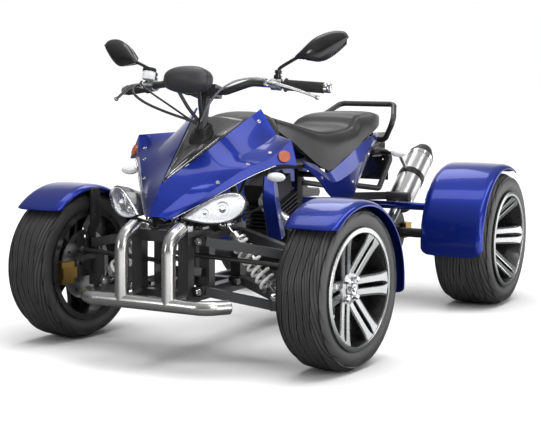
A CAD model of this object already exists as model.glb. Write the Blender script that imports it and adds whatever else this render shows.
from math import asin, copysign, cos, exp, pi, radians, sin, sqrt, tau

import bmesh
import bpy
from mathutils import Matrix, Vector


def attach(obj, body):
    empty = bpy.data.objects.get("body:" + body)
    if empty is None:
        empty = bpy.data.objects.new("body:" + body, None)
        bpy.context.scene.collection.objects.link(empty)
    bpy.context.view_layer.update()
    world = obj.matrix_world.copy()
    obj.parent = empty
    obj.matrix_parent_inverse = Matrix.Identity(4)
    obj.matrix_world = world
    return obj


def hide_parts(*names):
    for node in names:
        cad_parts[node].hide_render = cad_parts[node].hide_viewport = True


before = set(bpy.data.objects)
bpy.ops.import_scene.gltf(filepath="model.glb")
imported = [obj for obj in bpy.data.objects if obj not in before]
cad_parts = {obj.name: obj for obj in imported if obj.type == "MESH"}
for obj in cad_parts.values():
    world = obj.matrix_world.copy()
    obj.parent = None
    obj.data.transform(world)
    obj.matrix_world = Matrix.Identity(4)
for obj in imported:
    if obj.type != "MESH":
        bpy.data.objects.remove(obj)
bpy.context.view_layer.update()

# The photographer's camera: low ahead of the left front wheel, a long lens on a full frame.
# It stands on a tripod, and the quad bike fills the picture.
camera_at = Vector((4.282, 2.208, 0.906))
camera_yaw = radians(208.153)
camera_pitch = radians(-6.137)
camera_roll = radians(-0.42)
lens_mm = 87.85
sensor_mm = 36
sight_m = 200


def add(name, data):
    made = bpy.data.objects.new(name, data)
    bpy.context.collection.objects.link(made)
    return made


up = Vector((0, 0, 1))
flat = cos(camera_pitch)
ahead = Vector((flat * cos(camera_yaw), flat * sin(camera_yaw), sin(camera_pitch)))
level = ahead.cross(up).normalized()
down = ahead.cross(level)
right = cos(camera_roll) * level + sin(camera_roll) * down
down = cos(camera_roll) * down - sin(camera_roll) * level
camera = add("camera", bpy.data.cameras.new("camera"))
camera.data.sensor_fit = "HORIZONTAL"
camera.data.sensor_width = sensor_mm
camera.data.lens = lens_mm
camera.data.clip_end = sight_m
camera.matrix_world = Matrix.Translation(camera_at) @ Matrix((right, -down, -ahead)).transposed().to_4x4()
scene = bpy.context.scene
scene.camera = camera
scene.view_settings.view_transform = "Standard"


# Control cables: sheathed wire ropes, the clutch's in bare braid, and the brake's hose.
# Each is clipped into a lever's perch at one end and into the stem's clamp at the other.
MM = 0.001
stem_foot = Vector((740, 0, 310))
rake = radians(15)
rest_turn = Matrix.Rotation(radians(-5), 4, "Z")
column_frame = Matrix.Translation(stem_foot) @ Matrix.Rotation(-rake, 4, "Y")
stem_frame = column_frame @ rest_turn


class Tone:
    """One output of a look's nodes; sums and products of tones make Math nodes."""

    def __init__(self, tree, socket=None):
        self.tree = tree
        self.socket = socket

    def node(self, kind, settings=None, sockets=None, out=0):
        made = self.tree.nodes.new(kind)
        for key, value in (settings or {}).items():
            setattr(made, key, value)
        for key, value in (sockets or {}).items():
            if isinstance(value, Tone):
                self.tree.links.new(value.socket, made.inputs[key])
            else:
                made.inputs[key].default_value = value
        return Tone(self.tree, made.outputs[out])

    def maths(self, operation, *inputs):
        return self.node("ShaderNodeMath", {"operation": operation}, dict(enumerate(inputs)))

    def __add__(self, other):
        return self.maths("ADD", self, other)

    __radd__ = __add__

    def __sub__(self, other):
        return self.maths("SUBTRACT", self, other)

    def __rsub__(self, other):
        return self.maths("SUBTRACT", other, self)

    def __mul__(self, other):
        return self.maths("MULTIPLY", self, other)

    __rmul__ = __mul__

    def __pow__(self, other):
        return self.maths("POWER", self, other)

    def at_least(self, low):
        return self.maths("MAXIMUM", self, low)

    def size(self):
        return self.maths("ABSOLUTE", self)

    def ramp(self, low, high):
        return self.node("ShaderNodeMapRange", {}, {0: self, 1: low, 2: high})

    def part(self, axis):
        return self.node("ShaderNodeSeparateXYZ", {}, {0: self}, out=axis)

    def mix(self, low, high):
        """Colour between two, each a tone or its red, green and blue."""
        low, high = (c if isinstance(c, Tone) else (*c, 1) for c in (low, high))
        return self.node("ShaderNodeMix", {"data_type": "RGBA"}, {0: self, 6: low, 7: high}, out=2)

    def noise(self, scale, detail=2.0):
        return self.node("ShaderNodeTexNoise", {}, {"Vector": self, "Scale": scale, "Detail": detail})

    def cells(self, scale, out="Distance"):
        return self.node("ShaderNodeTexVoronoi", {}, {"Vector": self, "Scale": scale}, out=out)

    def stretched(self, scale):
        return self.node("ShaderNodeMapping", {}, {"Vector": self, "Scale": scale})


def look(name):
    """New material, and the place on the object that its patterns start from."""
    made = bpy.data.materials.new(name)
    made.use_nodes = True
    return made, Tone(made.node_tree).node("ShaderNodeTexCoord", out="Object")


def dress(made, bump=None, **values):
    """Sets the material's sockets; bump is a tone, its strength and its height in metres."""
    shader = made.node_tree.nodes["Principled BSDF"]
    sockets = {key.replace("_", " ").title().replace("Ior", "IOR"): value for key, value in values.items()}
    if bump:
        settings = dict(zip(("Height", "Strength", "Distance"), bump))
        sockets["Normal"] = bump[0].node("ShaderNodeBump", {}, settings)
    for key, value in sockets.items():
        if isinstance(value, Tone):
            made.node_tree.links.new(value.socket, shader.inputs[key])
        else:
            shader.inputs[key].default_value = value
    return made


def mottled(name, cloud, dark, pale, rough, grain=None, stretch=None, bump=None, **values):
    """Look whose colour drifts with a noise, and its roughness and bump with that or a finer one."""
    made, at = look(name)
    fine = (at.stretched(stretch) if stretch else at).noise(*(grain or cloud))
    coarse = at.noise(*cloud) if grain else fine
    return dress(made, bump and (fine, *bump), base_color=coarse.mix(dark, pale),
                 roughness=rough[0] + rough[1] * fine, **values)


cable_look = mottled("cable_black", (400,), (0.012, 0.012, 0.013), (0.03, 0.03, 0.03), (0.42, 0.12),
                     bump=(0.1, 0.0004))
braid_look = mottled("cable_braid", (900,), (0.30, 0.30, 0.31), (0.62, 0.62, 0.63), (0.30, 0.14),
                     bump=(0.2, 0.0004), metallic=0.8)


def blend4(four, t):
    """A point or row of numbers on the smooth run between the middle two of four."""
    return [
        0.5 * (2 * b + (c - a) * t + (2 * a - 5 * b + 4 * c - d) * t * t + (3 * b - a - 3 * c + d) * t**3)
        for a, b, c, d in zip(*four)
    ]


def eased(rows, steps):
    """Rows of numbers with steps smooth rows in place of each span."""
    last = len(rows) - 1
    made = []
    for i in range(last):
        four = [rows[max(i - 1, 0)], rows[i], rows[i + 1], rows[min(i + 2, last)]]
        made += [blend4(four, k / steps) for k in range(steps)]
    return made + [list(rows[-1])]


def settle(made, body, stands_for=()):
    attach(made, body)
    if stands_for:
        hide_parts(*stands_for)
    return made


def cable(name, route, d, finish):
    """Cord along a route given in the stem's frame, perch first."""
    line = [(stem_frame @ Vector(p)) * MM for p in eased(route, 5)]
    data = bpy.data.curves.new(name, "CURVE")
    data.dimensions = "3D"
    data.bevel_depth = d * MM / 2
    data.bevel_resolution = 3
    data.use_fill_caps = True
    run = data.splines.new("POLY")
    run.points.add(len(line) - 1)
    for spot, p in zip(run.points, line):
        spot.co = (*p, 1)
    run.use_smooth = True
    data.materials.append(finish)
    made = settle(add(name, data), "steering")
    length = sum((b - a).length for a, b in zip(line, line[1:]))


rope_d = 7
hose_d = 9
clutch_route = [[2, 262, 580], [52, 232, 580], [80, 172, 566], [78, 112, 538], [56, 56, 496], [22, 8, 448]]
throttle_route = [
    [0, -262, 585], [58, -232, 570], [92, -180, 540], [92, -120, 508], [66, -58, 472], [20, -8, 438],
]
brake_route = [
    [20, -258, 574], [72, -246, 550], [112, -206, 516], [118, -146, 484], [88, -76, 460], [20, -6, 444],
]
cable("cable_clutch", clutch_route, rope_d, braid_look)
cable("cable_throttle", throttle_route, rope_d, cable_look)
cable("cable_brake", brake_route, hose_d, cable_look)


# Studio: white floor paper, a white wall far behind, and nine soft boxes over and round the vehicle.
# Mirrors see the paper dark but for two lit strips, which gives chrome and paint their contrast.
# All this belongs to the room, so the object leaves it behind.
floor_half = 60
floor_glow = 0.6
floor_look, at = look("floor_paper")
mirrored = at.node("ShaderNodeLightPath", out="Is Glossy Ray")
east, north = at.part("X"), at.part("Y")
reach = (east * east + north * north) ** 0.5
front = (east * camera_at.x + north * camera_at.y) * (reach.at_least(0.1) * camera_at.xy.length) ** -1
lens_strip = reach.ramp(1.5, 2.4) * front.size().ramp(0.72, 0.97)
left_strip = north.ramp(0.8, 1.3)
unlit = mirrored * (1 - lens_strip.at_least(left_strip))
paper = at.noise(3).mix((0.78, 0.78, 0.78), (0.80, 0.80, 0.80))
far_glow = (1 - unlit) * reach.ramp(1.5, 3.3)
dress(floor_look, base_color=unlit.mix(paper, (0.09, 0.09, 0.09)), roughness=0.9,
      emission_color=far_glow.mix((0, 0, 0), (1, 1, 1)), emission_strength=floor_glow)
floor_mesh = bpy.data.meshes.new("floor")
floor_corners = [(x * floor_half, y * floor_half, 0) for x, y in ((-1, -1), (1, -1), (1, 1), (-1, 1))]
floor_mesh.from_pydata(floor_corners, [], [(0, 1, 2, 3)])
floor_mesh.materials.append(floor_look)
add("floor", floor_mesh)

low_level = 0.12
high_level = 1.0
mirror_loss = 0.45
room = bpy.data.worlds.new("room")
room.use_nodes = True
scene.world = room
paths = Tone(room.node_tree)
seen = paths.node("ShaderNodeLightPath", out="Is Camera Ray")
seen = seen.at_least(paths.node("ShaderNodeLightPath", out="Is Transmission Ray"))
mirrored = paths.node("ShaderNodeLightPath", out="Is Glossy Ray")
toward = paths.node("ShaderNodeTexCoord", out="Generated")
upward = toward.part("Z").at_least(0)
wall = (0 - toward.part("X") * camera_at.x - toward.part("Y") * camera_at.y) * (1 / camera_at.xy.length)
room_level = (low_level + (high_level - low_level) * upward**1.5) * (1 - mirror_loss * mirrored)
room_level = room_level + mirrored * wall.ramp(0.78, 0.97)
room_shader = room.node_tree.nodes["Background"]
room_shader.inputs["Color"].default_value = (1, 1, 1, 1)
room.node_tree.links.new((room_level + (1 - room_level) * seen).socket, room_shader.inputs["Strength"])


def soft_box(name, spot, aim, width, height, watts, mirrored=True):
    data = bpy.data.lights.new(name, "AREA")
    data.shape = "RECTANGLE"
    data.size = width
    data.size_y = height
    data.energy = watts
    made = add(name, data)
    made.location = spot
    made.rotation_euler = (Vector(aim) - Vector(spot)).to_track_quat("-Z", "Y").to_euler()
    made.visible_glossy = mirrored


soft_box("box_top", (0.4, 0.2, 3.4), (0, 0, 0.4), 4.0, 3.0, 120, False)
soft_box("box_strip", (0.2, 1.7, 3.0), (0.1, 0.2, 0.5), 3.6, 0.5, 26)
soft_box("box_over", (0.28, -0.1, 3.0), (0.28, 0.35, 0.5), 0.8, 2.2, 12)
soft_box("box_left", (-3.2, 3.4, 1.0), (0.2, 0.4, 0.3), 3.0, 1.6, 34)
soft_box("box_front", (4.2, -1.6, 1.5), (0.2, 0, 0.4), 0.7, 1.6, 20)
soft_box("box_tall_near", (1.3, 4.0, 0.6), (-0.4, 0.5, 0.5), 0.7, 1.1, 16)
soft_box("box_tall_far", (-0.4, 4.0, 0.6), (-0.4, 0.5, 0.5), 0.5, 1.1, 12)
soft_box("box_side", (2.6, 3.4, 2.0), (0.2, 0.2, 0.4), 1.6, 2.2, 30)
soft_box("box_rear", (-1.8, -0.9, 3.0), (-0.4, 0, 0.6), 1.4, 1.2, 14)


# Frame, arms, engine and axles: welded steel in satin black, grey arms, cast and machined metal.
# The front box, the spines and the stays are bolted together at plates, and carry all the rest.
frame_look, at = look("frame_black")
cloud = at.noise(14)
dress(frame_look, base_color=cloud.mix((0.010, 0.010, 0.011), (0.022, 0.022, 0.023)),
      roughness=0.30 + 0.16 * cloud, coat_weight=0.3, coat_roughness=0.3,
      bump=(at.noise(700, 3), 0.06, 0.0004))
gloss_look = mottled("gloss_black", (30,), (0.006, 0.006, 0.007), (0.014, 0.014, 0.015), (0.16, 0.08),
                     coat_weight=0.6, coat_roughness=0.05)
arm_look = mottled("arm_grey", (9,), (0.045, 0.046, 0.048), (0.085, 0.086, 0.09), (0.34, 0.12),
                   grain=(500, 3), bump=(0.08, 0.0004), metallic=0.35)
steel_look = mottled("steel_polished", (11,), (0.56, 0.555, 0.55), (0.70, 0.695, 0.69), (0.20, 0.12),
                     grain=(6, 3), stretch=(60, 60, 900), bump=(0.03, 0.0004), metallic=1.0)
alloy_look = mottled("alloy_cast", (12,), (0.38, 0.385, 0.39), (0.56, 0.565, 0.57), (0.34, 0.16),
                     grain=(350, 4), bump=(0.14, 0.0006), metallic=1.0)
iron_look = mottled("iron_dark", (260, 4), (0.05, 0.048, 0.046), (0.13, 0.128, 0.125), (0.34, 0.2),
                    bump=(0.1, 0.0004), metallic=0.9)
brass_look = mottled("caliper_gold", (420, 3), (0.52, 0.33, 0.08), (0.72, 0.49, 0.16), (0.32, 0.14),
                     bump=(0.1, 0.0005), metallic=1.0)
red_look = mottled("lens_red", (4,), (0.22, 0.006, 0.006), (0.42, 0.018, 0.014), (0.1, 0.1),
                   stretch=(0, 500, 0), coat_weight=0.8)
engine_look = mottled("engine_grey", (7,), (0.022, 0.022, 0.023), (0.052, 0.052, 0.054), (0.42, 0.16),
                      grain=(300, 4), bump=(0.2, 0.0006), metallic=0.7)


def refinish(names, finish):
    """Gives solids of the frame their look."""
    for name in names.split():
        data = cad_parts[name].data
        data.materials.clear()
        data.materials.append(finish)


refinish("front_frame lower_frame rear_frame upper_frame tail_stays panel_stays", frame_look)
refinish("swingarm grab_rail steering_stem handlebar footrests", frame_look)
refinish("tail_box headlamp_housings", gloss_look)
refinish("upper_arms lower_arms", arm_look)
refinish("dampers front_bumper exhaust_pipe", steel_look)
refinish("engine", engine_look)
refinish("front_hub_left front_hub_right", alloy_look)
refinish("rear_caliper", brass_look)
refinish("tie_rod_left tie_rod_right rear_axle rear_sprocket chain", iron_look)
refinish("tail_lamp", red_look)

# The knuckles: black castings, each with a gold brake caliper bolted on behind the axle.
# Caliper and casting are one solid, so the gold is kept to the caliper's box, in metres.
caliper_box = (("X", 0.76, 0.038), ("Y", 0.455, 0.034), ("Z", 0.236, 0.042))
knuckle_look, at = look("knuckle_and_caliper")
grain = at.noise(300, 3)
apart = [(at.part(axis).size() - middle).size() * (1 / half) for axis, middle, half in caliper_box]
caliper = 1 - apart[0].at_least(apart[1]).at_least(apart[2]).ramp(0.97, 1.03)
casting = grain.mix((0.03, 0.03, 0.031), (0.07, 0.07, 0.072))
gold = grain.mix((0.52, 0.33, 0.08), (0.74, 0.50, 0.16))
dress(knuckle_look, base_color=caliper.mix(casting, gold), metallic=0.4 + 0.6 * caliper,
      roughness=0.32 + 0.16 * grain, bump=(grain, 0.1, 0.0005))
refinish("knuckle_left knuckle_right", knuckle_look)


# Coil springs: white-coated spring wire, wound at an even pitch round each damper.
# Each is held between the damper's two plates.
def circle(steps):
    """Angles of one full turn."""
    return [tau * k / steps for k in range(steps)]


def arc(steps):
    """Angles of a half turn, both ends among them."""
    return [pi * k / steps for k in range(steps + 1)]


def skin(rings):
    """Points and faces of an open skin over rings of points."""
    n = len(rings[0])
    faces = [
        (i * n + j, i * n + (j + 1) % n, (i + 1) * n + (j + 1) % n, (i + 1) * n + j)
        for i in range(len(rings) - 1)
        for j in range(n)
    ]
    return [Vector(p) for ring in rings for p in ring], faces


def capped(rings):
    """The skin closed by a face at each end."""
    points, faces = skin(rings)
    n = len(rings[0])
    return points, faces + [tuple(range(n - 1, -1, -1)), tuple(range(len(points) - n, len(points)))]


def joined(*shapes):
    points, faces = [], []
    for more, sides in shapes:
        faces += [tuple(i + len(points) for i in side) for side in sides]
        points += more
    return points, faces


def flipped(shape):
    """The shape across the middle, on the right-hand side."""
    points, faces = shape
    return [Vector((p.x, -p.y, p.z)) for p in points], [tuple(reversed(side)) for side in faces]


def paired(shape):
    return joined(shape, flipped(shape))


def placed(shape, matrix):
    points, faces = shape
    return [matrix @ p for p in points], faces


def raw(name, shape, *looks):
    points, faces = shape
    mesh = bpy.data.meshes.new(name)
    mesh.from_pydata([p * MM for p in points], [], faces)
    work = bmesh.new()
    work.from_mesh(mesh)
    bmesh.ops.remove_doubles(work, verts=work.verts, dist=1e-6)
    bmesh.ops.recalc_face_normals(work, faces=work.faces)
    work.to_mesh(mesh)
    work.free()
    for finish in looks:
        mesh.materials.append(finish)
    return add(name, mesh)


def smooth(made, angle):
    made.data.shade_smooth()
    made.data.set_sharp_from_angle(angle=radians(angle))
    return made


def freeze(made):
    """The piece as plain mesh, its modifiers worked in."""
    graph = bpy.context.evaluated_depsgraph_get()
    done = bpy.data.meshes.new_from_object(made.evaluated_get(graph))
    made.modifiers.clear()
    made.data = done
    return made


def rounded(made, width):
    edge_angle = 40
    edge = made.modifiers.new("round", "BEVEL")
    edge.width = width * MM
    edge.segments = 2
    edge.limit_method = "ANGLE"
    edge.angle_limit = radians(edge_angle)
    return smooth(freeze(made), edge_angle)


def piece(name, shape, finish, slot, stands_for=(), angle=35, round_by=0, body="chassis"):
    made = raw(name, shape, finish)
    if round_by:
        rounded(made, round_by)
    smooth(made, angle)
    return settle(made, body, stands_for)


def facing(point, normal):
    """Frame at a point with its Z along a normal."""
    return Matrix.Translation(point) @ Vector(normal).to_track_quat("Z", "Y").to_matrix().to_4x4()


def upon(start, end):
    """Frame with its Z along a line, from the line's start."""
    return facing(start, (Vector(end) - Vector(start)).normalized())


spring_look = mottled("spring_white", (60,), (0.84, 0.84, 0.83), (0.93, 0.93, 0.92), (0.28, 0.14),
                      coat_weight=0.3)
spring_d = 53
wire_d = 9.6
spring_turns = 7
turn_steps = 28
plate_places = (0.24, 0.88)
plate_t = 6
plate_gap = 0.2
damper_top, damper_low = (700, 132, 428), (700, 318, 216)
rear_damper_top, rear_damper_low = (-340, 0, 528), (-475, 0, 322)


def coil(top, low):
    """Wire wound from the damper's upper plate to its lower one."""
    upper, lower = ((Vector(low) - Vector(top)).length * place for place in plate_places)
    start = upper + wire_d / 2 + plate_gap
    stop = lower - plate_t - wire_d / 2 - plate_gap
    steps = spring_turns * turn_steps
    rows = []
    for k in range(steps + 1):
        share = k / steps
        a = tau * spring_turns * share
        z = start + (stop - start) * share
        row = []
        for b in circle(10):
            r = spring_d / 2 + wire_d / 2 * cos(b)
            row.append((r * cos(a), r * sin(a), z + wire_d / 2 * sin(b)))
        rows.append(row)
    return placed(capped(rows), upon(top, low))


coils = joined(paired(coil(damper_top, damper_low)), coil(rear_damper_top, rear_damper_low))
piece("spring_coils", coils, spring_look, "spring", ["springs"])

# Tyres: moulded rubber with fine curved grooves round the tread and plain sidewalls.
# Each sits on its rim's bead.
front_d, front_w, front_rim_d, front_grooves = 506, 172, 380, 7
rear_d, rear_w, rear_rim_d, rear_grooves = 521, 246, 374, 9
rim_step = 12
bead_gap = 0.3
groove_w = 3.0
groove_deep = 3.6
tread_share = 0.84
wall_share = 0.86
sway_by, sway_waves, sway_lag = 3.2, 9, 2.2
kingpin = Vector((650, 402, front_d / 2))
wheel_offset = Vector((0, 104.5, 0))
rear_wheel = Vector((-710, 488.5, rear_d / 2))
half_turn = Matrix.Rotation(pi, 4, "Z")
across_middle = Matrix.Diagonal((1, -1, 1, 1))
front_left = Matrix.Translation(kingpin) @ rest_turn @ Matrix.Translation(wheel_offset)
front_right = Matrix.Translation(across_middle @ kingpin) @ rest_turn
front_right = front_right @ Matrix.Translation(-wheel_offset) @ half_turn
rear_left = Matrix.Translation(rear_wheel)
rear_right = Matrix.Translation(across_middle @ rear_wheel) @ half_turn
wheel_turn = Matrix.Rotation(radians(-90), 4, "X")

tyre_look, at = look("tyre_rubber")
grain = at.noise(500, 4)
roll = at.node("ShaderNodeAttribute", {"attribute_name": "roll"}, out="Vector")
turn = at.maths("ARCTAN2", roll.part("Y"), roll.part("X"))
across = roll.part("Z").size()
sipe = at.maths("SINE", 62 * across + 18 * turn + 2.5 * at.noise(9)).ramp(0.45, 0.9)
rise = (roll.part("X") * roll.part("X") + roll.part("Y") * roll.part("Y")) ** 0.5
sipe = sipe * (1 - across.ramp(0.86, 0.94)) * rise.ramp(0.86, 0.92)
rubber = at.noise(16).mix((0.024, 0.024, 0.024), (0.050, 0.050, 0.049))
dress(tyre_look, base_color=sipe.mix(rubber, (0.003, 0.003, 0.003)), roughness=0.32 + 0.20 * grain,
      bump=(grain * 0.15 - sipe, 0.7, 0.0016))


def power(value, exponent):
    return copysign(abs(value) ** exponent, value)


def tyre(d, w, rim_d, grooves):
    """Tyre about Y, round-shouldered from bead to bead, with waving grooves."""
    low = rim_d / 2 - rim_step + bead_gap
    half = w / 2
    outline = []
    for a in arc(240):
        rise = sin(a) ** 0.77
        tuck = 1 - 0.2 * (1 - rise) ** 2
        outline.append((low + (d / 2 - low) * rise, half * power(cos(a), 0.4) * tuck))
    shoulder = low + 0.45 * (d / 2 - low)
    walls = [p for p in outline if abs(p[1]) > half * wall_share or p[0] < shoulder]
    crown = [p for p in outline if p[0] > shoulder]
    profile = [p for p in walls if p[1] > 0][::6]
    for g in range(grooves):
        y = half * tread_share * (1 - 2 * g / (grooves - 1))
        r = min(crown, key=lambda p: abs(p[1] - y))[0]
        profile += [
            (r, y + groove_w), (r, y + groove_w / 2), (r - groove_deep, y + groove_w * 0.3),
            (r - groove_deep, y - groove_w * 0.3), (r, y - groove_w / 2), (r, y - groove_w),
        ]
    profile += [p for p in walls if p[1] < 0][::6]
    rows = []
    for r, y in profile:
        sway = sway_by * max(0, 1 - (abs(y) / (half * wall_share)) ** 6)
        lag = sway_lag * abs(y) / half
        rows.append([(r * cos(a), r * sin(a), y + sway * sin(sway_waves * a + lag)) for a in circle(144)])
    rows.append(rows[0])
    return placed(skin(rows), wheel_turn)


def tyres(name, spots, size, body, solid):
    """Tyres of one body; each point keeps its place round the axle and across, as shares of the size."""
    shape = tyre(*size)
    d, w = size[:2]
    shapes = joined(*[placed(shape, m) for m in spots])
    made = piece(name, shapes, tyre_look, "tyre", [solid], angle=30, body=body)
    roll = made.data.attributes.new("roll", "FLOAT_VECTOR", "POINT")
    backs = [m.inverted() for m in spots]
    for k, vertex in enumerate(made.data.vertices):
        spot = min((back @ (vertex.co / MM) for back in backs), key=lambda p: p.length)
        roll.data[k].vector = (2 * spot.x / d, 2 * spot.z / d, 2 * spot.y / w)


front_size = (front_d, front_w, front_rim_d, front_grooves)
rear_size = (rear_d, rear_w, rear_rim_d, rear_grooves)
tyres("tyre_front_left", [front_left], front_size, "wheel_front_left", "front_tyre_left")
tyres("tyre_front_right", [front_right], front_size, "wheel_front_right", "front_tyre_right")
tyres("tyres_rear", [rear_left, rear_right], rear_size, "rear_axle", "rear_tyres")

# Rims: cast alloy, lacquered black, with machined faces on the lip and on six pairs of spokes.
# Each bolts to its hub with four nuts round a large centre nut.
rim_look = mottled("rim_machined", (14,), (0.40, 0.405, 0.41), (0.50, 0.505, 0.51), (0.20, 0.08),
                   grain=(240,), bump=(0.02, 0.0004), metallic=1.0, coat_weight=0.3)
well_look = mottled("rim_black", (40,), (0.007, 0.007, 0.008), (0.016, 0.016, 0.017), (0.22, 0.12),
                    coat_weight=0.5, coat_roughness=0.1)
chrome_look = mottled("chrome", (20,), (0.72, 0.72, 0.73), (0.86, 0.86, 0.87), (0.06, 0.06), metallic=1.0)


def repeat_tree():
    """Geometry nodes that set a part at each point, turned by the point's own turn."""
    tree = bpy.data.node_groups.new("repeat", "GeometryNodeTree")
    for name, kind in (("Places", "Geometry"), ("Part", "Object"), ("Finish", "Material")):
        tree.interface.new_socket(name, in_out="INPUT", socket_type="NodeSocket" + kind)
    tree.interface.new_socket("Pieces", in_out="OUTPUT", socket_type="NodeSocketGeometry")
    part = tree.nodes.new("GeometryNodeObjectInfo")
    turn = tree.nodes.new("GeometryNodeInputNamedAttribute")
    turn.data_type = "FLOAT_VECTOR"
    turn.inputs["Name"].default_value = "turn"
    start, stop, euler, spots, real, paint = (tree.nodes.new(kind) for kind in (
        "NodeGroupInput", "NodeGroupOutput", "FunctionNodeEulerToRotation", "GeometryNodeInstanceOnPoints",
        "GeometryNodeRealizeInstances", "GeometryNodeSetMaterial",
    ))
    for source, out, target, into in (
        (start, "Places", spots, "Points"), (start, "Part", part, "Object"),
        (part, "Geometry", spots, "Instance"), (turn, "Attribute", euler, 0), (euler, 0, spots, "Rotation"),
        (spots, 0, real, 0), (real, 0, paint, "Geometry"), (start, "Finish", paint, "Material"),
        (paint, 0, stop, "Pieces"),
    ):
        tree.links.new(source.outputs[out], target.inputs[into])
    return tree


repeats = repeat_tree()
repeat_sockets = {s.name: s.identifier for s in repeats.interface.items_tree if s.in_out == "INPUT"}


def repeat(name, shape, places, finish, angle=35, body="chassis"):
    """One shape set in many places, each a frame in millimetres."""
    part = smooth(raw(name + "_part", shape, finish), angle)
    mesh = bpy.data.meshes.new(name)
    mesh.from_pydata([m.translation * MM for m in places], [], [])
    turns = mesh.attributes.new("turn", "FLOAT_VECTOR", "POINT")
    for k, m in enumerate(places):
        turns.data[k].vector = m.to_euler("XYZ")
    made = add(name, mesh)
    work = made.modifiers.new("repeat", "NODES")
    work.node_group = repeats
    work[repeat_sockets["Part"]] = part
    work[repeat_sockets["Finish"]] = finish
    freeze(made)
    bpy.data.objects.remove(part)
    return settle(made, body)


def turned(profile, steps, close=False):
    """Lathe work about Z from a profile of radius and height."""
    ring = profile + profile[:1] if close else profile
    return skin([[(r * cos(a), r * sin(a), h) for a in circle(steps)] for r, h in ring])


def bolted(profile, steps=24):
    """Closed lathe work; a point of the profile with a third number makes a ring with that many flats."""
    rows = []
    for r, h, *flats in profile:
        row = []
        for a in circle(steps):
            reach = r
            if flats:
                span = tau / flats[0]
                reach = r * cos(span / 2) / cos((a % span) - span / 2)
            row.append((reach * cos(a), reach * sin(a), h))
        rows.append(row)
    return capped(rows)


rim_share = 0.95
front_dish = 44
rear_dish = 105
spoke_pairs = 6
spoke_deep = 20
spoke_root, spoke_gap, spoke_half = 30, 5.5, 32
face_lift, face_deep, face_trim = 1.4, 2.6, 1.2
spoke_bevel = 1.6
spoke_steps = 16
hub_r = 54
nut_ring_r = 39
nut_count = 4
lug_nut = bolted([(11, 0), (11, 6), (9.6, 6, 6), (9.6, 17, 6), (7.4, 19, 6), (4, 19.4)])
centre_nut = bolted([
    (26, 0), (26, 6), (20, 6, 6), (20, 17, 6), (17, 19, 6), (9, 19), (8, 15), (8, 22), (6, 24),
])


def spoke_pair(half_w, rim_d, dish, top, thick, trim):
    """Two bevelled bars from the hub out to the lip, flared where they meet it and joined there."""
    seat_r = rim_d / 2 - rim_step
    bars = []
    for twin in (-1, 1):
        rows = []
        for k in range(spoke_steps + 1):
            share = k / spoke_steps
            r = spoke_root + (seat_r - 4 - spoke_root) * share
            y = half_w - dish + (dish - 4) * share**1.15 + top
            gap = (spoke_gap + 2 * share + trim) * (1 - share**14)
            edge = spoke_half + 4 * share + 10 * share**9 - 5 * trim
            near, far = sorted((twin * gap, twin * edge))
            rows.append([
                (r, near, y - thick), (r, near, y - spoke_bevel), (r, near + spoke_bevel, y),
                (r, far - spoke_bevel, y), (r, far, y - spoke_bevel), (r, far, y - thick),
            ])
        bars.append(capped(rows))
    return joined(*bars)


def wheel(tag, frames, body, solid, tyre_w, rim_d, dish):
    """Rims of one body, with their spokes, caps and nuts."""
    half_w = tyre_w / 2 * rim_share
    rim_r = rim_d / 2
    seat_r = rim_r - rim_step
    hub_y = half_w - dish
    barrel = turned([
        (seat_r, 6 - half_w), (rim_r, 6 - half_w), (rim_r, -half_w), (seat_r - 8, -half_w),
        (seat_r - 8, half_w - 9), (seat_r - 4, half_w - 3), (seat_r, half_w - 6),
    ], 96, close=True)
    lip = turned([
        (rim_r, half_w - 6), (rim_r, half_w - 1), (rim_r - 1.5, half_w), (seat_r - 3, half_w),
        (seat_r - 5, half_w - 3), (seat_r - 5, half_w - 6),
    ], 96, close=True)
    hub = turned([
        (0.4, hub_y - 22), (hub_r, hub_y - 22), (hub_r, hub_y - 3), (hub_r - 3, hub_y + 1), (0.4, hub_y + 1),
    ], 48, close=True)
    cap = turned([(52, hub_y), (50, hub_y + 4), (31, hub_y + 6), (29, hub_y + 3), (20, hub_y + 3)], 48)
    spin = [m @ wheel_turn for m in frames]
    spoke_spots = [m @ Matrix.Rotation(a, 4, "Z") for m in spin for a in circle(spoke_pairs)]
    hub_spots = [m @ Matrix.Translation(up * hub_y) for m in spin]
    nut_turns = [tau * (k + 0.5) / nut_count for k in range(nut_count)]
    nut_places = [Vector((nut_ring_r * cos(a), nut_ring_r * sin(a), 0)) for a in nut_turns]
    nut_spots = [m @ Matrix.Translation(p) for m in hub_spots for p in nut_places]

    def each(part, shape, finish, stands_for=()):
        shapes = [placed(shape, m) for m in spin]
        piece(f"rim_{part}_{tag}", joined(*shapes), finish, "rim", stands_for, body=body)

    each("barrel", joined(barrel, hub), well_look, [solid])
    each("lip", lip, rim_look)
    spokes = spoke_pair(half_w, rim_d, dish, 0, spoke_deep, 0)
    repeat(f"rim_spokes_{tag}", spokes, spoke_spots, well_look, body=body)
    faces = spoke_pair(half_w, rim_d, dish, face_lift, face_deep, face_trim)
    repeat(f"rim_faces_{tag}", faces, spoke_spots, rim_look, angle=20, body=body)
    each("cap", cap, rim_look)
    repeat(f"rim_nuts_{tag}", lug_nut, nut_spots, chrome_look, body=body)
    repeat(f"rim_hub_nut_{tag}", centre_nut, hub_spots, chrome_look, body=body)


wheel("left", [front_left], "wheel_front_left", "front_rim_left", front_w, front_rim_d, front_dish)
wheel("right", [front_right], "wheel_front_right", "front_rim_right", front_w, front_rim_d, front_dish)
wheel("rear", [rear_left, rear_right], "rear_axle", "rear_rims", rear_w, rear_rim_d, rear_dish)

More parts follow.
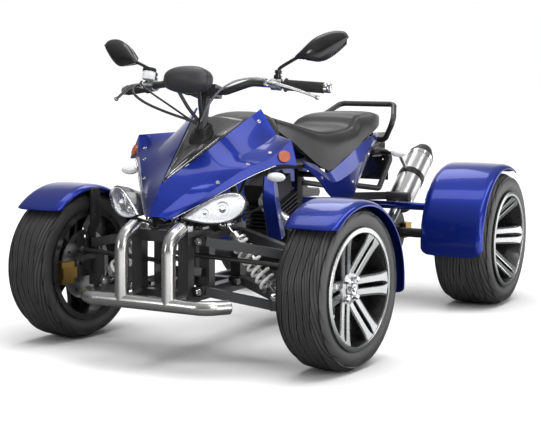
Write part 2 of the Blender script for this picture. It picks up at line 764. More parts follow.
# Mudguards: moulded plastic in body colour under clear lacquer, with rolled edges.
# The front pair ride on the knuckles' plates, the rear pair on the beam over the swingarm.
paint_look, at = look("paint_blue")
sparkle = at.node("ShaderNodeSeparateColor", {}, {0: at.cells(2600, "Color")})
body_blue = at.noise(5).mix((0.003, 0.009, 0.165), (0.004, 0.013, 0.225))
dress(paint_look, base_color=(sparkle * 0.5).mix(body_blue, (0.01, 0.06, 0.5)), metallic=0.78,
      roughness=0.28 + 0.10 * sparkle, coat_weight=0.8, coat_roughness=0.06, coat_ior=1.4)
panel_t = 5
panel_edge = 1.2
guard_bevel = 34
guard_skirt = 14


def guard(axle, radius, width, start, end, corner):
    """Arched strip over a tyre, crowned across, its edges turned down and its corners rounded."""
    half = width / 2
    flat = half - guard_bevel
    outer = []
    for a in arc(16)[:9]:
        r = radius + panel_t - (panel_t + guard_skirt) * (1 - cos(a))
        outer.append((r, flat + guard_bevel * sin(a)))
    crown = [(radius + panel_t + 1.5 * (1 - s * s), s * flat) for s in (-0.6, -0.2, 0.2, 0.6)]
    line = [(r, -y) for r, y in reversed(outer)] + crown + outer
    line_in = []
    for r, y in line:
        thick = panel_t if abs(y) < flat else panel_t * (half - abs(y)) / guard_bevel
        line_in.append((r - thick, y * (1 - panel_t / half), y))
    loop = [(r, y, y) for r, y in line] + line_in[::-1]
    steps = 44
    rows = []
    for k in range(steps + 1):
        row = []
        for r, y, rim_y in loop:
            drawn = corner * (abs(rim_y) / half) ** 7
            a = radians(start + drawn + (end - start - 2 * drawn) * k / steps)
            row.append((axle[0] + r * cos(a), axle[1] + y, axle[2] + r * sin(a)))
        rows.append(row)
    return capped(rows)


front_guard_r = front_d / 2 + 16
front_guard_w = 190
front_arch = guard(kingpin + wheel_offset, front_guard_r, front_guard_w, start=46, end=190, corner=4)
plate_outline = [
    (422, 280), (434, 280), (434, 362), (415, 396), (415, 515), (403, 515), (403, 396), (422, 362),
]
plate_ends = (kingpin.x - 20, kingpin.x + 20)
plate_edge = 1.5
plate = capped([[(x, y, z) for y, z in plate_outline] for x in plate_ends])
for side, tag in ((1, "left"), (-1, "right")):
    pivot = Vector((kingpin.x, side * kingpin.y, 0))
    steer = Matrix.Translation(pivot) @ rest_turn @ Matrix.Translation(-pivot)
    arch, post = (front_arch, plate) if side > 0 else (flipped(front_arch), flipped(plate))
    for part, shape, finish, angle, edge in (
        ("front", arch, paint_look, 40, panel_edge), ("plate", post, frame_look, 30, plate_edge),
    ):
        piece(f"mudguard_{part}_{tag}", placed(shape, steer), finish, "paint", [f"front_guard_{tag}"],
              angle, edge, f"knuckle_{tag}")

rear_guard_r = rear_d / 2 + 30
rear_guard_w = 250
rear_guard_y = 465
rear_guard_at = (rear_wheel.x, rear_guard_y, rear_wheel.z)
rear_arch = guard(rear_guard_at, rear_guard_r, rear_guard_w, start=-9, end=119, corner=5)
wall_y = rear_guard_y - rear_guard_w / 2
wall_low, wall_high = rear_guard_r - 58, rear_guard_r - 6.5
wall_outline = [
    (wall_low, wall_y), (wall_low, wall_y + panel_t), (wall_high, wall_y + panel_t), (wall_high, wall_y),
]
wall_start, wall_sweep, wall_steps = 12, 54, 18
wall_rows = []
for k in range(wall_steps + 1):
    a = radians(wall_start + wall_sweep * k / wall_steps)
    wall_rows.append([(rear_wheel.x + r * cos(a), y, rear_wheel.z + r * sin(a)) for r, y in wall_outline])
rear_guards = paired(joined(rear_arch, capped(wall_rows)))
piece("mudguards_rear", rear_guards, paint_look, "paint", ["rear_guards"], angle=40, round_by=panel_edge)
refinish("guard_beam", paint_look)


# Body panels: blue moulded cowls, scoops and tail panels, black tank cover, woven black nose panel.
# They are clipped and screwed to the stays of the frame, and bright beads finish the edges.
def inset(rows, depth):
    """Grid of points moved in behind its own face."""
    grid = [[Vector(p) for p in row] for row in rows]
    m, n = len(grid) - 1, len(grid[0]) - 1
    inner = []
    for i, row in enumerate(grid):
        back = []
        for j, p in enumerate(row):
            across = row[min(j + 1, n)] - row[max(j - 1, 0)]
            along = grid[min(i + 1, m)][j] - grid[max(i - 1, 0)][j]
            back.append(p - depth * across.cross(along).normalized())
        inner.append(back)
    return inner


def shell(rows, thick):
    """Closed panel of even thickness behind a grid of outer points."""
    return capped([list(a) + list(reversed(b)) for a, b in zip(rows, inset(rows, thick))])


def tube(points, d, ease=6, sides=14):
    """Round bar along eased points."""
    line = [Vector(p) for p in eased([list(p) for p in points], ease)]
    rows = []
    side = None
    for k, p in enumerate(line):
        run = (line[min(k + 1, len(line) - 1)] - line[max(k - 1, 0)]).normalized()
        side = run.orthogonal().normalized() if side is None else (side - run * side.dot(run)).normalized()
        other = run.cross(side)
        rows.append([p + (side * cos(a) + other * sin(a)) * d / 2 for a in circle(sides)])
    return capped(rows)


def spread(shares, start, spans):
    """Grid of points from their shares of a box, given by its start and its spans."""
    return [[tuple(a + b * s for a, b, s in zip(start, spans, spot)) for spot in row] for row in shares]


def woven(grid, steps=8, across=4):
    """Grid of points eased along its length, with straight steps across each strip."""
    columns = [eased([row[j] for row in grid], steps) for j in range(len(grid[0]))]
    rows = []
    for i in range(len(columns[0])):
        row = []
        for j in range(len(columns) - 1):
            a, b = Vector(columns[j][i]), Vector(columns[j + 1][i])
            row += [a + (b - a) * k / across for k in range(across)]
        rows.append(row + [Vector(columns[-1][i])])
    return rows


fold_angle = 9


def panel(name, rows, solid):
    """Blue panel and its like across the middle, creased at its folds."""
    shape = paired(shell(rows, panel_t))
    piece(name, shape, paint_look, "paint", [solid], angle=fold_angle, round_by=panel_edge)


middle_gap = 0.4
liner_gap = 0.1
liner_t = 1.4
cowl_shares = [
    [[0, 0, 0], [0.03, 0.06, 0], [0.07, 0.11, -0.02], [0.08, 0.115, -0.05]],
    [[0.13, 0, 0.28], [0.2, 0.22, 0.21], [0.27, 0.34, 0.17], [0.275, 0.355, 0.12]],
    [[0.41, 0.13, 0.51], [0.47, 0.39, 0.46], [0.5, 0.6, 0.42], [0.505, 0.63, 0.34]],
    [[0.71, 0.26, 0.76], [0.73, 0.57, 0.62], [0.665, 0.79, 0.545], [0.67, 0.825, 0.46]],
    [[1, 0.39, 1], [0.97, 0.6, 0.74], [0.79, 0.91, 0.71], [0.765, 1, 0.46]],
]
cowl_grid = [
    [(x, max(y, middle_gap), z) for x, y, z in row]
    for row in spread(cowl_shares, (938, 0, 467), (-478, 318, 321))
]
cowl_rows = woven(cowl_grid)
panel("cowl_panels", cowl_rows, "cowls")
plastic_look = mottled("plastic_black", (1200, 4), (0.006, 0.006, 0.007), (0.014, 0.014, 0.015),
                       (0.36, 0.12), bump=(0.18, 0.0004), specular_ior_level=0.3)
cowl_lining = shell(inset(cowl_rows, panel_t + liner_gap), liner_t)
piece("cowl_liners", paired(cowl_lining), plastic_look, "black_plastic", angle=fold_angle)

carbon_look, at = look("carbon_panel")
weave = at.node("ShaderNodeTexChecker", {}, {"Vector": at, "Scale": 320.0}, out="Fac")
weft = 0.6 * weave + 0.3 * at.noise(300)
dress(carbon_look, base_color=weft.mix((0.006, 0.006, 0.007), (0.03, 0.03, 0.032)),
      roughness=0.20 + 0.14 * weave, coat_weight=0.7, coat_roughness=0.08, bump=(weave, 0.08, 0.0003))
nose_crown = 10
nose_gap = 5.5
nose_start, nose_run = 0.05, 0.79
nose_steps = 24
nose_shares = [2 * j / nose_steps - 1 for j in range(nose_steps + 1)]
inner_from, inner_to = Vector(cowl_grid[1][0]), Vector(cowl_grid[4][0])
nose_rows = []
for k in range(nose_steps + 1):
    edge = inner_from + (inner_to - inner_from) * (nose_start + nose_run * k / nose_steps)
    half = max(edge.y - nose_gap, middle_gap / 2)
    nose_rows.append([(edge.x, s * half, edge.z + nose_crown * (1 - s * s)) for s in nose_shares])
nose = raw("nose_panel_skin", shell(nose_rows, panel_t), carbon_look)


def cut(made, shape):
    """The piece with a shape taken out of it."""
    tool = raw("cutter", shape)
    work = made.modifiers.new("cut", "BOOLEAN")
    work.operation = "DIFFERENCE"
    work.solver = "EXACT"
    work.object = tool
    freeze(made)
    bpy.data.objects.remove(tool)
    return made


stem_hole_r = 32
stem_hole = placed(bolted([(stem_hole_r, 250), (stem_hole_r, 500)], 40), stem_frame)
settle(smooth(rounded(cut(nose, stem_hole), 1.0), 25), "chassis", ["nose_panel"])
bead_d = 2.6
bead_sides = 8
nose_lift = Vector((0.8, 0, 0.8))
edge_lift = Vector((1, 1.4, -0.4))
beads = []
for column, first, last in ((19, 2, 11), (23, 1, 22)):
    line = [Vector(nose_rows[k][column]) + nose_lift for k in range(first, last, 3)]
    beads.append(tube(line, bead_d, ease=3, sides=bead_sides))
cowl_edge = eased([row[3] for row in cowl_grid[:4]], 4)[1:]
beads.append(tube([Vector(p) + edge_lift for p in cowl_edge], bead_d, ease=1, sides=bead_sides))
piece("nose_beads", paired(joined(*beads)), chrome_look, "steel", angle=50)
nose_slope = (inner_to.z - inner_from.z) / (inner_to.x - inner_from.x)


def nose_height(x):
    """Height along the column at which the nose panel is met, a way ahead of its axis."""
    level = inner_from.z + nose_crown - stem_foot.z + nose_slope * (stem_foot.x - inner_from.x)
    rising = nose_slope * cos(rake) - sin(rake)
    return (level + x * rising) / (cos(rake) + nose_slope * sin(rake))


boot_profile = [
    (16.5, 34), (19, 36), (22, 33), (24, 24), (28, 25), (30, 17), (34, 17), (37, 3), (37, -1), (31, 9),
    (25, 17), (16.5, 28), (16.5, 34),
]
boot_rows = []
for r, lift in boot_profile:
    boot_rows.append([(r * cos(a), r * sin(a), nose_height(r * cos(a)) + lift) for a in circle(40)])
boot = placed(skin(boot_rows), column_frame)
piece("stem_boot", boot, plastic_look, "black_plastic", angle=50)

scoop_shares = [
    [[0.55, 0.6, 1], [0.75, 0.8, 1], [0.97, 0.6, 1]],
    [[0.36, 0.55, 0.6], [0.67, 0.9, 0.6], [0.92, 0.4, 0.6]],
    [[0, 0.24, 0.05], [0.3, 0.6, 0.02], [0.53, 0, 0.02]],
]
scoop_grid = spread(scoop_shares, (425, 190, 358), (180, 42, 220))
panel("scoop_blades", woven(scoop_grid), "side_scoops")
tail_shares = [
    [[0, 0.95, 0.71], [0.01, 1, 0.67], [0.02, 0.95, 0.62]],
    [[0.17, 0.74, 0.61], [0.19, 0.8, 0.5], [0.22, 0.7, 0.35]],
    [[0.33, 0.57, 0.46], [0.37, 0.68, 0.3], [0.4, 0.5, 0.04]],
    [[0.52, 0.61, 0.66], [0.56, 0.73, 0.43], [0.6, 0.5, 0]],
    [[0.66, 0.59, 0.84], [0.69, 0.68, 0.64], [0.71, 0.4, 0.26]],
    [[0.82, 0.48, 0.96], [0.83, 0.52, 0.85], [0.87, 0.24, 0.67]],
    [[0.99, 0.1, 0.98], [0.995, 0.1, 0.94], [1, 0.04, 0.89]],
]
tail_grid = spread(tail_shares, (240, 90, 440), (-815, 82, 234))
panel("tail_sides", woven(tail_grid), "tail_panels")

tank_front, tank_long = 526, 304
tank_half = 118
tank_low, tank_high = 622, 152
tank_square = 0.6
tank_shares = [[0, 0.8, 0.76], [0.25, 0.98, 0.95], [0.6, 1, 1], [0.85, 0.8, 0.92], [1, 0.55, 0.84]]
tank_rows = []
for place, half, top in eased(tank_shares, 8):
    x = tank_front - tank_long * place
    row = []
    for a in arc(40):
        rise = sin(a) ** tank_square
        row.append((x, tank_half * half * power(cos(a), tank_square), tank_low + tank_high * top * rise))
    tank_rows.append(row)
piece("tank_shell", capped(tank_rows), plastic_look, "black_plastic", ["tank_cover"], angle=40, round_by=3)


# Panel screws: bright socket heads in rows along each cowl, tail panel and scoop.
# They are turned steel, plated, through rubber grommets into the stays.
def panel_spot(grid, u, v):
    """Frame on a grid's outer face at row u and column v."""
    i, j = min(int(u), len(grid) - 2), min(int(v), len(grid[0]) - 2)
    s, t = u - i, v - j
    p00, p10, p01, p11 = (Vector(grid[i + a][j + b]) for a, b in ((0, 0), (1, 0), (0, 1), (1, 1)))
    spot = p00 * (1 - s) * (1 - t) + p10 * s * (1 - t) + p01 * (1 - s) * t + p11 * s * t
    across = (p01 - p00) * (1 - s) + (p11 - p10) * s
    along = (p10 - p00) * (1 - t) + (p11 - p01) * t
    return facing(spot, across.cross(along).normalized())


def other_side(frames):
    """The frames with their likes across the middle."""
    made = []
    for m in frames:
        spot, normal = m.translation, m.to_3x3() @ up
        made.append(facing((spot.x, -spot.y, spot.z), (normal.x, -normal.y, normal.z)))
    return frames + made


screw = bolted([(7, -3), (7, 2.2), (6, 3.4), (3.6, 3.4, 6), (3.4, 1.2, 6)])
screw_places = [(cowl_grid, u, 1.75) for u in (1.5, 2.35, 3.1)] + [(cowl_grid, 3.75, 0.3)]
screw_places += [(tail_grid, u, 1.4) for u in (1.2, 3.0, 4.6)]
screw_places += [(scoop_grid, u, 0.9) for u in (0.2, 1.4)]
screw_spots = [panel_spot(*place) for place in screw_places]
repeat("panel_screws", screw, other_side(screw_spots), chrome_look)

# Headlamps: clear covers over chromed reflectors, glued into black housings.
# Indicators and side reflectors: moulded lenses on short stalks and clips.
lens_look = mottled("lens_clear", (40,), (0.92, 0.94, 0.96), (1, 1, 1), (0.04, 0.04),
                    transmission_weight=1.0, ior=1.3)
amber_look, at = look("lens_amber")
ribs = at.cells(220)
dress(amber_look, base_color=ribs.mix((0.52, 0.10, 0.006), (0.26, 0.03, 0.002)), roughness=0.14 + 0.1 * ribs,
      bump=(ribs, 0.4, 0.002), coat_weight=0.5)
clear_look = mottled("lens_frosted", (200,), (0.62, 0.63, 0.64), (0.86, 0.87, 0.88), (0.10, 0.12),
                     coat_weight=0.9)
reflector_look = mottled("lamp_reflector", (60, 1), (0.86, 0.87, 0.88), (0.96, 0.96, 0.97), (0.16, 0.10),
                         stretch=(1, 1, 0.25), bump=(0.25, 0.003), metallic=1.0)
lamp_at = Vector((876, 85, 463))
lamp_turn = radians(30)
lamp_along = Vector((-sin(lamp_turn), cos(lamp_turn), 0))
lamp_facing = Vector((cos(lamp_turn), sin(lamp_turn), 0))
lamp_long, lamp_climb, lamp_high = 187, 46, 55
lamp_middle, lamp_middle_z = 0.55, 25.3
cover_bulge = 27
cover_t = 2.5


def lamp_ring(grow, depth):
    """Teardrop outline of a headlamp, grown about its middle and set forward by a depth."""
    row = []
    for a in circle(64):
        s = (1 - cos(a)) / 2
        t = lamp_climb * s + lamp_high * sin(a) * sqrt(s)
        along = lamp_along * (lamp_middle + (s - lamp_middle) * grow) * lamp_long
        rise = up * (lamp_middle_z + (t - lamp_middle_z) * grow)
        row.append(lamp_at + along + lamp_facing * depth + rise)
    return row


cover_shares = eased([[1, 0], [0.9, 0.44], [0.6, 0.81], [0.2, 1], [0.02, 1.01]], 4)
bowl_shares = eased([[0.985, -3.9], [0.965, 0.5], [0.8, -2.4], [0.5, -3.6], [0.1, -3.8]], 4)
cover_rows = [lamp_ring(1, -3.8)] + [lamp_ring(grow, cover_bulge * share) for grow, share in cover_shares]
for grow, share in reversed(cover_shares):
    cover_rows.append(lamp_ring(0.97 * grow, cover_bulge * share - cover_t))
cover = paired(capped(cover_rows))
piece("lamp_covers", cover, lens_look, "lens", ["headlamp_lenses"], angle=50)
bowl = paired(capped([lamp_ring(*share) for share in bowl_shares]))
piece("lamp_bowls", bowl, reflector_look, "lens", angle=50)
eye = turned([(27, 0), (26.5, 2.5), (24, 2.5), (18, -0.5), (11, 0.5), (7, 6), (0.2, 9)], 40)
eyes = []
for along, rise, size in ((118, 27, 1.0), (64, 15, 0.55)):
    spot = lamp_at + lamp_along * along + up * rise + lamp_facing * -3.6
    eyes.append(placed(eye, facing(spot, lamp_facing) @ Matrix.Scale(size, 4)))
piece("lamp_eyes", paired(joined(*eyes)), reflector_look, "lens", angle=40)

indicator_r = 15
indicator_half = 32
egg_steps = 24
front_indicator = Vector((636, 276, 580))
rear_indicator = Vector((-559.8, 189.3, 592))
stalk_d = 12


def egg(spot):
    rows = []
    for k in range(egg_steps + 1):
        a = pi * (k + 0.02) / (egg_steps + 0.04)
        r = indicator_r * sin(a)
        rows.append([spot + Vector((r * cos(b), -indicator_half * cos(a), r * sin(b))) for b in circle(28)])
    return capped(rows)


lenses = joined(egg(front_indicator), egg(rear_indicator))
piece("indicator_lenses", paired(lenses), clear_look, "lens", ["indicators"], angle=50)
stalks = joined(
    tube([(636, 262, 580), (634, 246, 582), (622, 240, 602), (612, 241, 630)], stalk_d),
    tube([(-561, 172, 592), (-575, 140, 592), (-592, 101, 592)], stalk_d),
)
piece("indicator_stalks", paired(stalks), plastic_look, "black_plastic", ["indicators"], angle=50)
refinish("side_reflectors", amber_look)


# Mirrors and instrument pod: black moulded shells, with silvered glass and a plain dark dial.
# The mirrors' stalks screw into the perches, the pod's bracket is clamped to the stem.
def bar_piece(name, shape, *rest, **more):
    """Piece that turns with the handlebar, its shape given in the stem's frame."""
    return piece(name, placed(shape, stem_frame), *rest, body="steering", **more)


glass_look = mottled("mirror_glass", (12,), (0.74, 0.76, 0.78), (0.84, 0.86, 0.88), (0.02, 0.02),
                     metallic=1.0)
pod_look = mottled("pod_grey", (1200, 4), (0.020, 0.020, 0.022), (0.040, 0.040, 0.043), (0.40, 0.12),
                   bump=(0.14, 0.0004))
dial_look = mottled("dial_face", (300,), (0.02, 0.02, 0.022), (0.07, 0.07, 0.075), (0.14, 0.1),
                    coat_weight=0.8)
bar_end, bar_knee = Vector((-76, 392, 580)), Vector((0, 170, 580))
perch = bar_end + (bar_knee - bar_end).normalized() * 153
mirror_root = Vector((-10, 317, 662))
mirror_run = Vector((-18, 168, 66))
mirror_half = 46
mirror_deep = 20
glass_back, glass_t, glass_share = 21.3, 1, 0.86
mirror_stalk_d = 11
perch_top = perch + up * 19.3
mirror_rows = eased([
    [0, 0.14, 0.14, 0.35], [0.1, 0.36, 0.26, 0.65], [0.3, 0.84, 0.66, 1], [0.5, 0.95, 0.97, 1],
    [0.7, 0.86, 0.82, 0.9], [0.9, 0.52, 0.38, 0.55], [1, 0.06, 0.04, 0.2],
], 7)


def mirror_ring(row, grow, depth, back):
    """Ring of a mirror at a share of its length, with its upper and lower halves of their own height."""
    place, upper, lower = row[:3]
    middle = mirror_root + mirror_run * place
    ring = []
    for a in circle(44):
        crease = 1.35 if cos(a) > 0 else 0.6
        half_h = mirror_half * (upper if sin(a) > 0 else lower) * grow
        ring.append((middle.x - back + depth * power(cos(a), crease), middle.y,
                     middle.z + half_h * power(sin(a), 0.9)))
    return ring


stalk = tube([
    perch_top, perch + up * 38, perch + Vector((4, 10, 54)), mirror_root + Vector((0, 10, 2)),
    mirror_root + Vector((0, 20, 8)),
], mirror_stalk_d)
foot_profile = [
    (0.2, 0), (12, 0), (13, 2), (13, 9), (9, 11), (9, 16), (11.5, 17), (11.5, 25), (6, 29), (0.2, 29),
]
foot = placed(turned(foot_profile, 24), Matrix.Translation(perch_top))
back_shell = capped([mirror_ring(row, 1, mirror_deep * row[3], 0) for row in mirror_rows])
mirrors = paired(joined(back_shell, stalk, foot))
bar_piece("mirror_shells", mirrors, gloss_look, "black_plastic", ["mirrors"], angle=22)
glazed = [row for row in mirror_rows if 0.07 < row[0] < 0.93]
pane_rows = [mirror_ring(row, glass_share, glass_t, glass_back) for row in glazed]
panes = paired(capped(pane_rows))
bar_piece("mirror_panes", panes, glass_look, "mirror", ["mirror_glass"], angle=30)

pod_x, pod_z = 108, 562
pod_half_long, pod_half_wide, pod_half_high = 54.7, 89, 42
pod_cut = 78
pod_steps = 32
pod_square = 0.8
pod_rows = []
for k in range(pod_steps + 1):
    a = radians(pod_cut - 2 * pod_cut * k / pod_steps)
    x = pod_x + pod_half_long * sin(a) / sin(radians(pod_cut))
    wide, high = pod_half_wide * cos(a), pod_half_high * cos(a)
    pod_rows.append([
        (x, wide * power(cos(t), pod_square), pod_z + high * power(sin(t), pod_square)) for t in circle(56)
    ])
bar_piece("pod_shell", capped(pod_rows), pod_look, "black_plastic", ["instrument_pod"], angle=40)
pod_seam = [Vector(p) for p in pod_rows[13]]
pod_bead = tube(pod_seam + pod_seam[:1], 3.4, ease=1, sides=bead_sides)
pod_arms = paired(tube([(96, 40, 528), (58, 24, 486), (16, 7, 452)], 12))
bar_piece("pod_bracket", joined(pod_bead, pod_arms), frame_look, "black_plastic", angle=50)
dial_at = (pod_x - pod_half_long + 0.1, 0, pod_z)
dial = turned([(0.2, 0), (15.2, 0), (15.2, 2.2), (13.8, 2.2), (13.2, 1.0), (0.2, 1.0)], 48)
dial = placed(dial, Matrix.Translation(dial_at) @ Matrix.Rotation(radians(-90), 4, "Y"))
bar_piece("pod_dial", dial, dial_look, "black_plastic", angle=30)

# Pivot bolts: plated hexagon bolts and nuts through the wishbones' and dampers' lugs, with washers.
# They are forged steel, bright zinc.
arm_y = 120
lug_half = 24
bolt = bolted([(12, 0), (12, 2), (10, 2, 6), (10, 8.5, 6), (8, 9.6, 6), (3, 9.8)])
pivots = [(x, arm_y, z) for x in (822, 578) for z in (389, 232)] + [damper_top, damper_low]
bolt_spots = [facing((x + way * lug_half, y, z), (way, 0, 0)) for x, y, z in pivots for way in (1, -1)]
repeat("pivot_bolts", bolt, other_side(bolt_spots), chrome_look)

# Chain: rolled steel plates in inner and outer pairs over hardened rollers.
# It runs in a closed loop over the rear sprocket and the engine's drive sprocket.
chain_y = -132
drive_x = -126
sprocket_r, drive_r = 101, 36
link_pitch = 15.9
plate_r = 6.4
link_t = 1.5
inner_gap, roller_r = 2.6, 4.6
outer_gap, pin_r, pin_half = 4.4, 2.4, 6.6
loop_rear = Vector((rear_wheel.x, chain_y, rear_wheel.z))
loop_front = Vector((drive_x, chain_y, rear_wheel.z))
top_a = pi / 2 - asin((sprocket_r - drive_r) / (loop_front - loop_rear).length)
loop = []
for middle, r, start, sweep, steps in (
    (loop_rear, sprocket_r, top_a, tau - 2 * top_a, 48), (loop_front, drive_r, -top_a, 2 * top_a, 32),
):
    for k in range(steps + 1):
        a = start + sweep * k / steps
        loop.append(middle + r * Vector((cos(a), 0, sin(a))))
loop.append(loop[0])
marks = [0.0]
for p, q in zip(loop, loop[1:]):
    marks.append(marks[-1] + (q - p).length)
link_count = 2 * round(marks[-1] / link_pitch / 2)
link_step = marks[-1] / link_count


def loop_spot(place):
    place %= marks[-1]
    k = max(i for i, m in enumerate(marks[:-1]) if m <= place)
    return loop[k].lerp(loop[k + 1], (place - marks[k]) / (marks[k + 1] - marks[k]))


def link(gap, r, half):
    """Pair of plates with the pins or rollers between them."""
    outline = [(copysign(link_step / 2, cos(a)) + plate_r * cos(a), plate_r * sin(a)) for a in circle(28)]
    shapes = []
    for way in (1, -1):
        shapes.append(capped([[(x, way * (gap + t), z) for x, z in outline] for t in (0, link_t)]))
    pin = turned([(0.1, -half), (r, -half), (r, half), (0.1, half)], 12)
    for end in (-1, 1):
        spot = Matrix.Translation((end * link_step / 2, 0, 0))
        shapes.append(placed(pin, spot @ Matrix.Rotation(pi / 2, 4, "X")))
    return joined(*shapes)


def link_frames(first):
    """Frames of every other link round the loop."""
    frames = []
    for k in range(first, link_count, 2):
        a, b = loop_spot(k * link_step), loop_spot((k + 1) * link_step)
        run = (b - a).normalized()
        side = Vector((0, 1, 0))
        turn = Matrix((run, side, run.cross(side))).transposed().to_4x4()
        frames.append(Matrix.Translation((a + b) / 2) @ turn)
    return frames


inner_link = link(inner_gap, roller_r, inner_gap)
inner_links = repeat("chain_inner_links", inner_link, link_frames(0), iron_look)
repeat("chain_outer_links", link(outer_gap, pin_r, pin_half), link_frames(1), iron_look)
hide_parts("chain")

# Silencer: rolled stainless sleeve with pressed bands, a dark cast end cap and an outlet pipe.
# A rubber-lined strap holds it to the left tail stay.
sleeve_look = mottled("silencer_sleeve", (6,), (0.58, 0.58, 0.575), (0.70, 0.70, 0.695), (0.24, 0.12),
                      stretch=(40, 500, 40), bump=(0.03, 0.0004), metallic=1.0)
refinish("muffler", sleeve_look)
climb = radians(37)
silencer = facing((-640, 160, 385), (-cos(climb), 0, sin(climb)))
sleeve_r = 52.1
bands = []
for start, end in ((4, 18), (268, 284)):
    rim = sleeve_r + 1.5
    bands.append(turned([(sleeve_r, start), (rim, start + 0.8), (rim, end - 0.8), (sleeve_r, end)], 64))
strap = turned([(sleeve_r, 140), (sleeve_r + 2.3, 140), (sleeve_r + 2.3, 168), (sleeve_r, 168)], 64)
end_cap = turned([
    (52.3, 288), (53.4, 290), (53.0, 294), (34.5, 335.5), (33, 337), (24, 337), (23, 330), (0.2, 330),
], 64)
outlet = turned([(20, 331), (20, 348), (22, 349), (22, 331)], 40)
for part, shape, finish, slot, angle in (
    ("bands", joined(*bands), chrome_look, "muffler", 40),
    ("strap", strap, plastic_look, "black_plastic", 40),
    ("cap", end_cap, iron_look, "muffler", 30),
    ("outlet", outlet, steel_look, "muffler", 40),
):
    piece(f"silencer_{part}", placed(shape, silencer), finish, slot, angle=angle)

# Seat: black grained vinyl stretched over moulded foam, with a rider's hollow and a passenger's step.
# The cover is seamed along its shoulders and stapled under the base.
vinyl_look, at = look("seat_vinyl")
cloud = at.noise(18)
dress(vinyl_look, base_color=cloud.mix((0.010, 0.010, 0.011), (0.020, 0.020, 0.021)),
      roughness=0.30 + 0.14 * cloud, bump=(at.cells(700), 0.12, 0.0004))
seat_front, seat_long = 215, 865
seat_half = 155
seat_top, seat_drop = 756, 200
seat_square = 0.55
seat_rim = 20
seam_deep, seam_place, seam_w = 3.0, 0.62, 0.035
seat_shares = [
    [0, 0.36, 0.02, 0.25, 0.19], [0.11, 0.46, 0.1, 0.48, 0.33], [0.29, 0.83, 0.25, 1, 0.48],
    [0.42, 0.97, 0.27, 0.8, 0.53], [0.54, 1, 0.22, 0.62, 0.5], [0.61, 0.97, 0.04, 0.5, 0.47],
    [0.73, 0.9, 0, 0.39, 0.36], [0.87, 0.72, 0, 0.28, 0.26], [1, 0.42, 0.05, 0.17, 0.13],
]
seat_rows = []
for place, half_share, *heights in eased(seat_shares, 9):
    x = seat_front - seat_long * place
    half = seat_half * half_share
    top, flap, base = (seat_top - seat_drop * share for share in heights)
    ring = []
    for a in arc(48):
        seam = seam_deep * exp(-((abs(cos(a)) - seam_place) / seam_w) ** 2)
        rise = sin(a) ** seat_square
        y = half * power(cos(a), seat_square) * (1 - seam / half)
        ring.append((x, y, flap + (top - flap) * rise - seam * 0.7))
    inside = half - seat_rim
    ring += [(x, -inside, flap + 3), (x, -inside, base), (x, inside, base), (x, inside, flap + 3)]
    seat_rows.append(ring)
seat = piece("seat_cover", capped(seat_rows), vinyl_look, "seat", ["seat"], angle=50)

# Grips: black ribbed rubber sleeves glued on the bar's ends.
# Each has a collar at its inner end and is cut flat at the outer one.
rubber_look = mottled("grip_rubber", (900, 3), (0.010, 0.010, 0.010), (0.024, 0.024, 0.024), (0.6, 0.14),
                      bump=(0.1, 0.0004))
bore_r, grip_r, groove_r, collar_r = 12.2, 17.5, 16.4, 22
rib_pitch = 5
grip_profile = [(bore_r, 0), (grip_r, 0), (grip_r, 3)]
for k in range(22):
    h = rib_pitch + k * rib_pitch
    grip_profile += [(grip_r, h), (groove_r, h + 0.8), (groove_r, h + 1.8), (grip_r, h + 2.6)]
grip_profile += [(grip_r, 118), (collar_r, 120), (collar_r, 125), (18, 128), (bore_r, 128)]
on_bar = upon(bar_end, bar_knee)
grip = placed(turned(grip_profile, 32, close=True), on_bar)
bar_piece("grip_sleeves", paired(grip), rubber_look, "grip", ["grips"], angle=50)

# Levers: forged and polished alloy blades with ball ends, hinged in clamped perches.
# The brake's fluid stands in a cup on the right perch; a turned weight is pressed into each end of the bar.
lever_pivot = perch + Vector((58, 0, -12))
lever_tip = Vector((-30, 399, 538))
ball_r = 8
lever_rows = [
    [*lever_pivot, 17, 11], [*(lever_pivot + Vector((3, 26, -2))), 17, 11],
    [*(lever_pivot + Vector((-2, 52, -6))), 14, 10], [-2, 350, 552, 11, 9], [*lever_tip, 10, 8],
]
hinge_rows = [
    [*(perch + Vector((15, 0, -3))), 30, 20], [*(perch + Vector((40, 0, -9))), 26, 18],
    [*lever_pivot, 22, 16], [*(lever_pivot + Vector((10, 0, -1))), 12, 14],
]


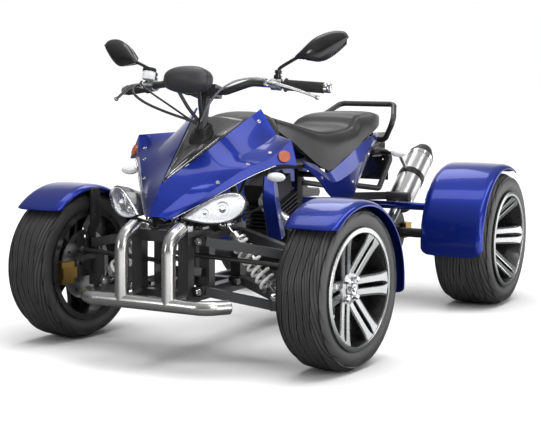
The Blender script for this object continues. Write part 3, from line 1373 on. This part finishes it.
def blade(rows):
    """Flat bar along eased points, each with its width and thickness."""
    line = eased(rows, 8)
    made = []
    for k, (x, y, z, width, thick) in enumerate(line):
        run = Vector(line[min(k + 1, len(line) - 1)][:3]) - Vector(line[max(k - 1, 0)][:3])
        side = run.cross(up).normalized() * width / 2
        lift = up * thick / 2
        p = Vector((x, y, z))
        made.append([p + side * 0.6 + lift, p + side, p + side * 0.6 - lift,
                     p - side * 0.6 - lift, p - side, p - side * 0.6 + lift])
    return capped(made)


ball = turned([(ball_r * sin(a) + 0.01, -ball_r * cos(a)) for a in arc(12)], 20)
lever = joined(blade(lever_rows), placed(ball, Matrix.Translation(lever_tip + Vector((0, 1, 0)))))
bar_piece("lever_blades", paired(lever), steel_look, "steel", ["levers"], angle=40, round_by=0.8)
collar = turned([
    (12.4, -17), (18, -17), (19, -16), (19, -2), (17.6, -1), (17.6, 1), (19, 2), (19, 16), (18, 17),
    (12.4, 17),
], 40, close=True)
perches = joined(placed(collar, facing(perch, bar_knee - bar_end)), blade(hinge_rows))
bar_piece("lever_perches", paired(perches), alloy_look, "steel", ["levers"], angle=40, round_by=1)
pin = bolted([(8, -9), (8, 9), (7, 9, 6), (7, 14, 6), (5.6, 15, 6), (2, 15)])
weight = turned([
    (0.2, -23), (11, -23), (15.4, -20), (15.4, -13), (14.6, -12), (14.6, -10), (15.4, -9), (15.4, -0.4),
], 32)
pins = joined(placed(pin, Matrix.Translation(lever_pivot)), placed(weight, on_bar))
bar_piece("lever_pins", paired(pins), chrome_look, "steel", angle=40)
cup_at = Matrix.Translation((perch.x + 29, -perch.y, perch.z + 14))
cup = turned([(0.2, 0), (20, 0), (21.5, 3), (21.5, 27), (0.2, 27)], 40)
bar_piece("reservoir_cup", placed(cup, cup_at), clear_look, "lens", ["levers"], angle=40)
lid = turned([(0.2, 27.1), (23, 27.1), (23, 37), (21, 39.6), (15, 40), (14, 39), (0.2, 39)], 40)
bar_piece("reservoir_lid", placed(lid, cup_at), plastic_look, "black_plastic", ["levers"], angle=40)

# Bumper ends: pressed steel caps welded into the open ends of the bumper's cross-tube.
# They are polished with the tube.
bumper_end = Vector((900, 258, 206))
bumper_run = Vector((-62, 44, 0))
bumper_cap = turned([(21.9, 0), (21.2, 2.5), (17, 4.6), (9, 5.8), (0.2, 6)], 40)
bumper_cap = placed(bumper_cap, upon(bumper_end, bumper_end + bumper_run))
piece("bumper_caps", paired(bumper_cap), steel_look, "steel", angle=50)
